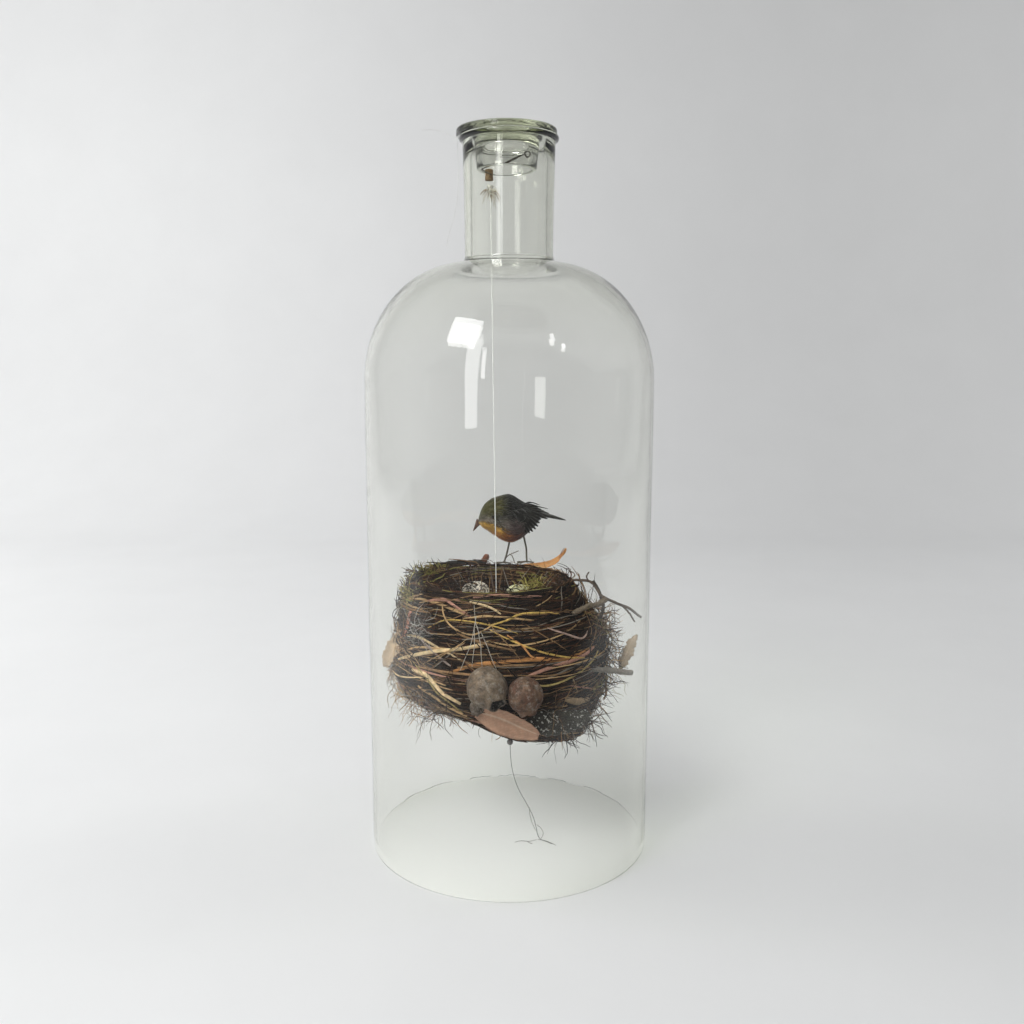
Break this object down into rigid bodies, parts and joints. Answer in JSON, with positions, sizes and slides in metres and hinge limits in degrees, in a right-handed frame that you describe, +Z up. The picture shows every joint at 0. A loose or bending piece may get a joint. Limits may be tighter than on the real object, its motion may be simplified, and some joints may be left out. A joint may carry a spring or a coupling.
{
  "type": "bell jar dome",
  "caption": "Bottomless glass jar dome with a loose stopper, from which a bird's nest with a small bird, eggs and gumnuts hangs on a nylon line.",
  "frame": {"origin": "centre of the foot, on the surface that the jar stands on", "axes": "+Z up along the jar, -Y to the front (the side that the gumnuts hang on), +X to the right"},
  "size_m": [0.25, 0.2499, 0.6243],
  "materials": {
    "jar_glass": "clear, faintly green, fire polished",
    "stopper_glass": "clear pressed glass, greener than the jar",
    "dark_wire": "dull twisted wire",
    "cork": "matte",
    "nylon": "clear nylon line",
    "tail_thread": "thin grey thread",
    "nest_fibre": "woven dry roots and grass",
    "nest_lining": "fine dry grass",
    "moss": "dry moss",
    "egg_white": "matte shell with dark speckles",
    "egg_green": "matte shell, pale green",
    "gumnut": "dry woody capsule",
    "dry_leaf": "dry leaf",
    "dark_bark": "rough bark",
    "straw": "dry flat straw",
    "twig": "thin bark",
    "pink_bark": "shredded bark",
    "feathers": "soft feathers, yellow to orange breast",
    "wing_feathers": "dark flight feathers",
    "horn": "horn",
    "eye_glass": "black glass bead",
    "leg_skin": "dry scaled skin"
  },
  "bodies": {
    "jar": {"dome_shell": "jar_glass"},
    "stopper": {"stopper": "stopper_glass", "hanger_wire": "dark_wire", "hanger_toggle": "cork", "loose_end_upper": "nylon", "loose_end_lower": "nylon"},
    "knot": {"line_knot": "nylon"},
    "line": {"suspension_line": "nylon"},
    "nest": {"bark_curl": "dark_bark", "bark_strip": "pink_bark", "beak_lower": "horn", "beak_upper": "horn", "beige_leaf": "straw", "bird_body": "feathers", "bird_eyes": "eye_glass", "bird_tail": "wing_feathers", "egg_left": "egg_white", "egg_right": "egg_green", "gumnut_bud": "gumnut", "gumnut_left": "gumnut", "gumnut_right": "gumnut", "leaf_under": "dry_leaf", "leg_left": "leg_skin", "leg_right": "leg_skin", "line_tail": "tail_thread", "lower_knot": "nylon", "moss_left": "moss", "moss_right": "moss", "nest_lining": "nest_lining", "nest_wall": "nest_fibre", "papery_strip": "straw", "reed_front": "straw", "rim_stick": "dark_bark", "rim_strip": "straw", "straw_left": "straw", "straw_pale": "straw", "stub_lower": "twig", "stub_upper": "twig", "twig_fork": "twig", "twig_left": "twig", "wing_left": "wing_feathers", "wing_right": "wing_feathers"}
  },
  "joints": [
    {"name": "stopper_lift", "type": "slide", "parent": "jar", "child": "stopper", "axis": [0, 0, 1], "range_m": [0, 0.17]},
    {"name": "side_sway", "type": "hinge", "parent": "stopper", "child": "knot", "pos_m": [-0.0155, 0, 0.573], "axis": [0, 1, 0], "range_deg": [-0.3, 0.6]},
    {"name": "front_sway", "type": "hinge", "parent": "knot", "child": "line", "pos_m": [-0.0155, 0, 0.573], "axis": [1, 0, 0], "range_deg": [-0.6, 0.6]},
    {"name": "nest_twist", "type": "hinge", "parent": "line", "child": "nest", "pos_m": [-0.0115, 0, 0.213], "axis": [0, 0, 1], "range_deg": [-10, 10]}
  ]
}
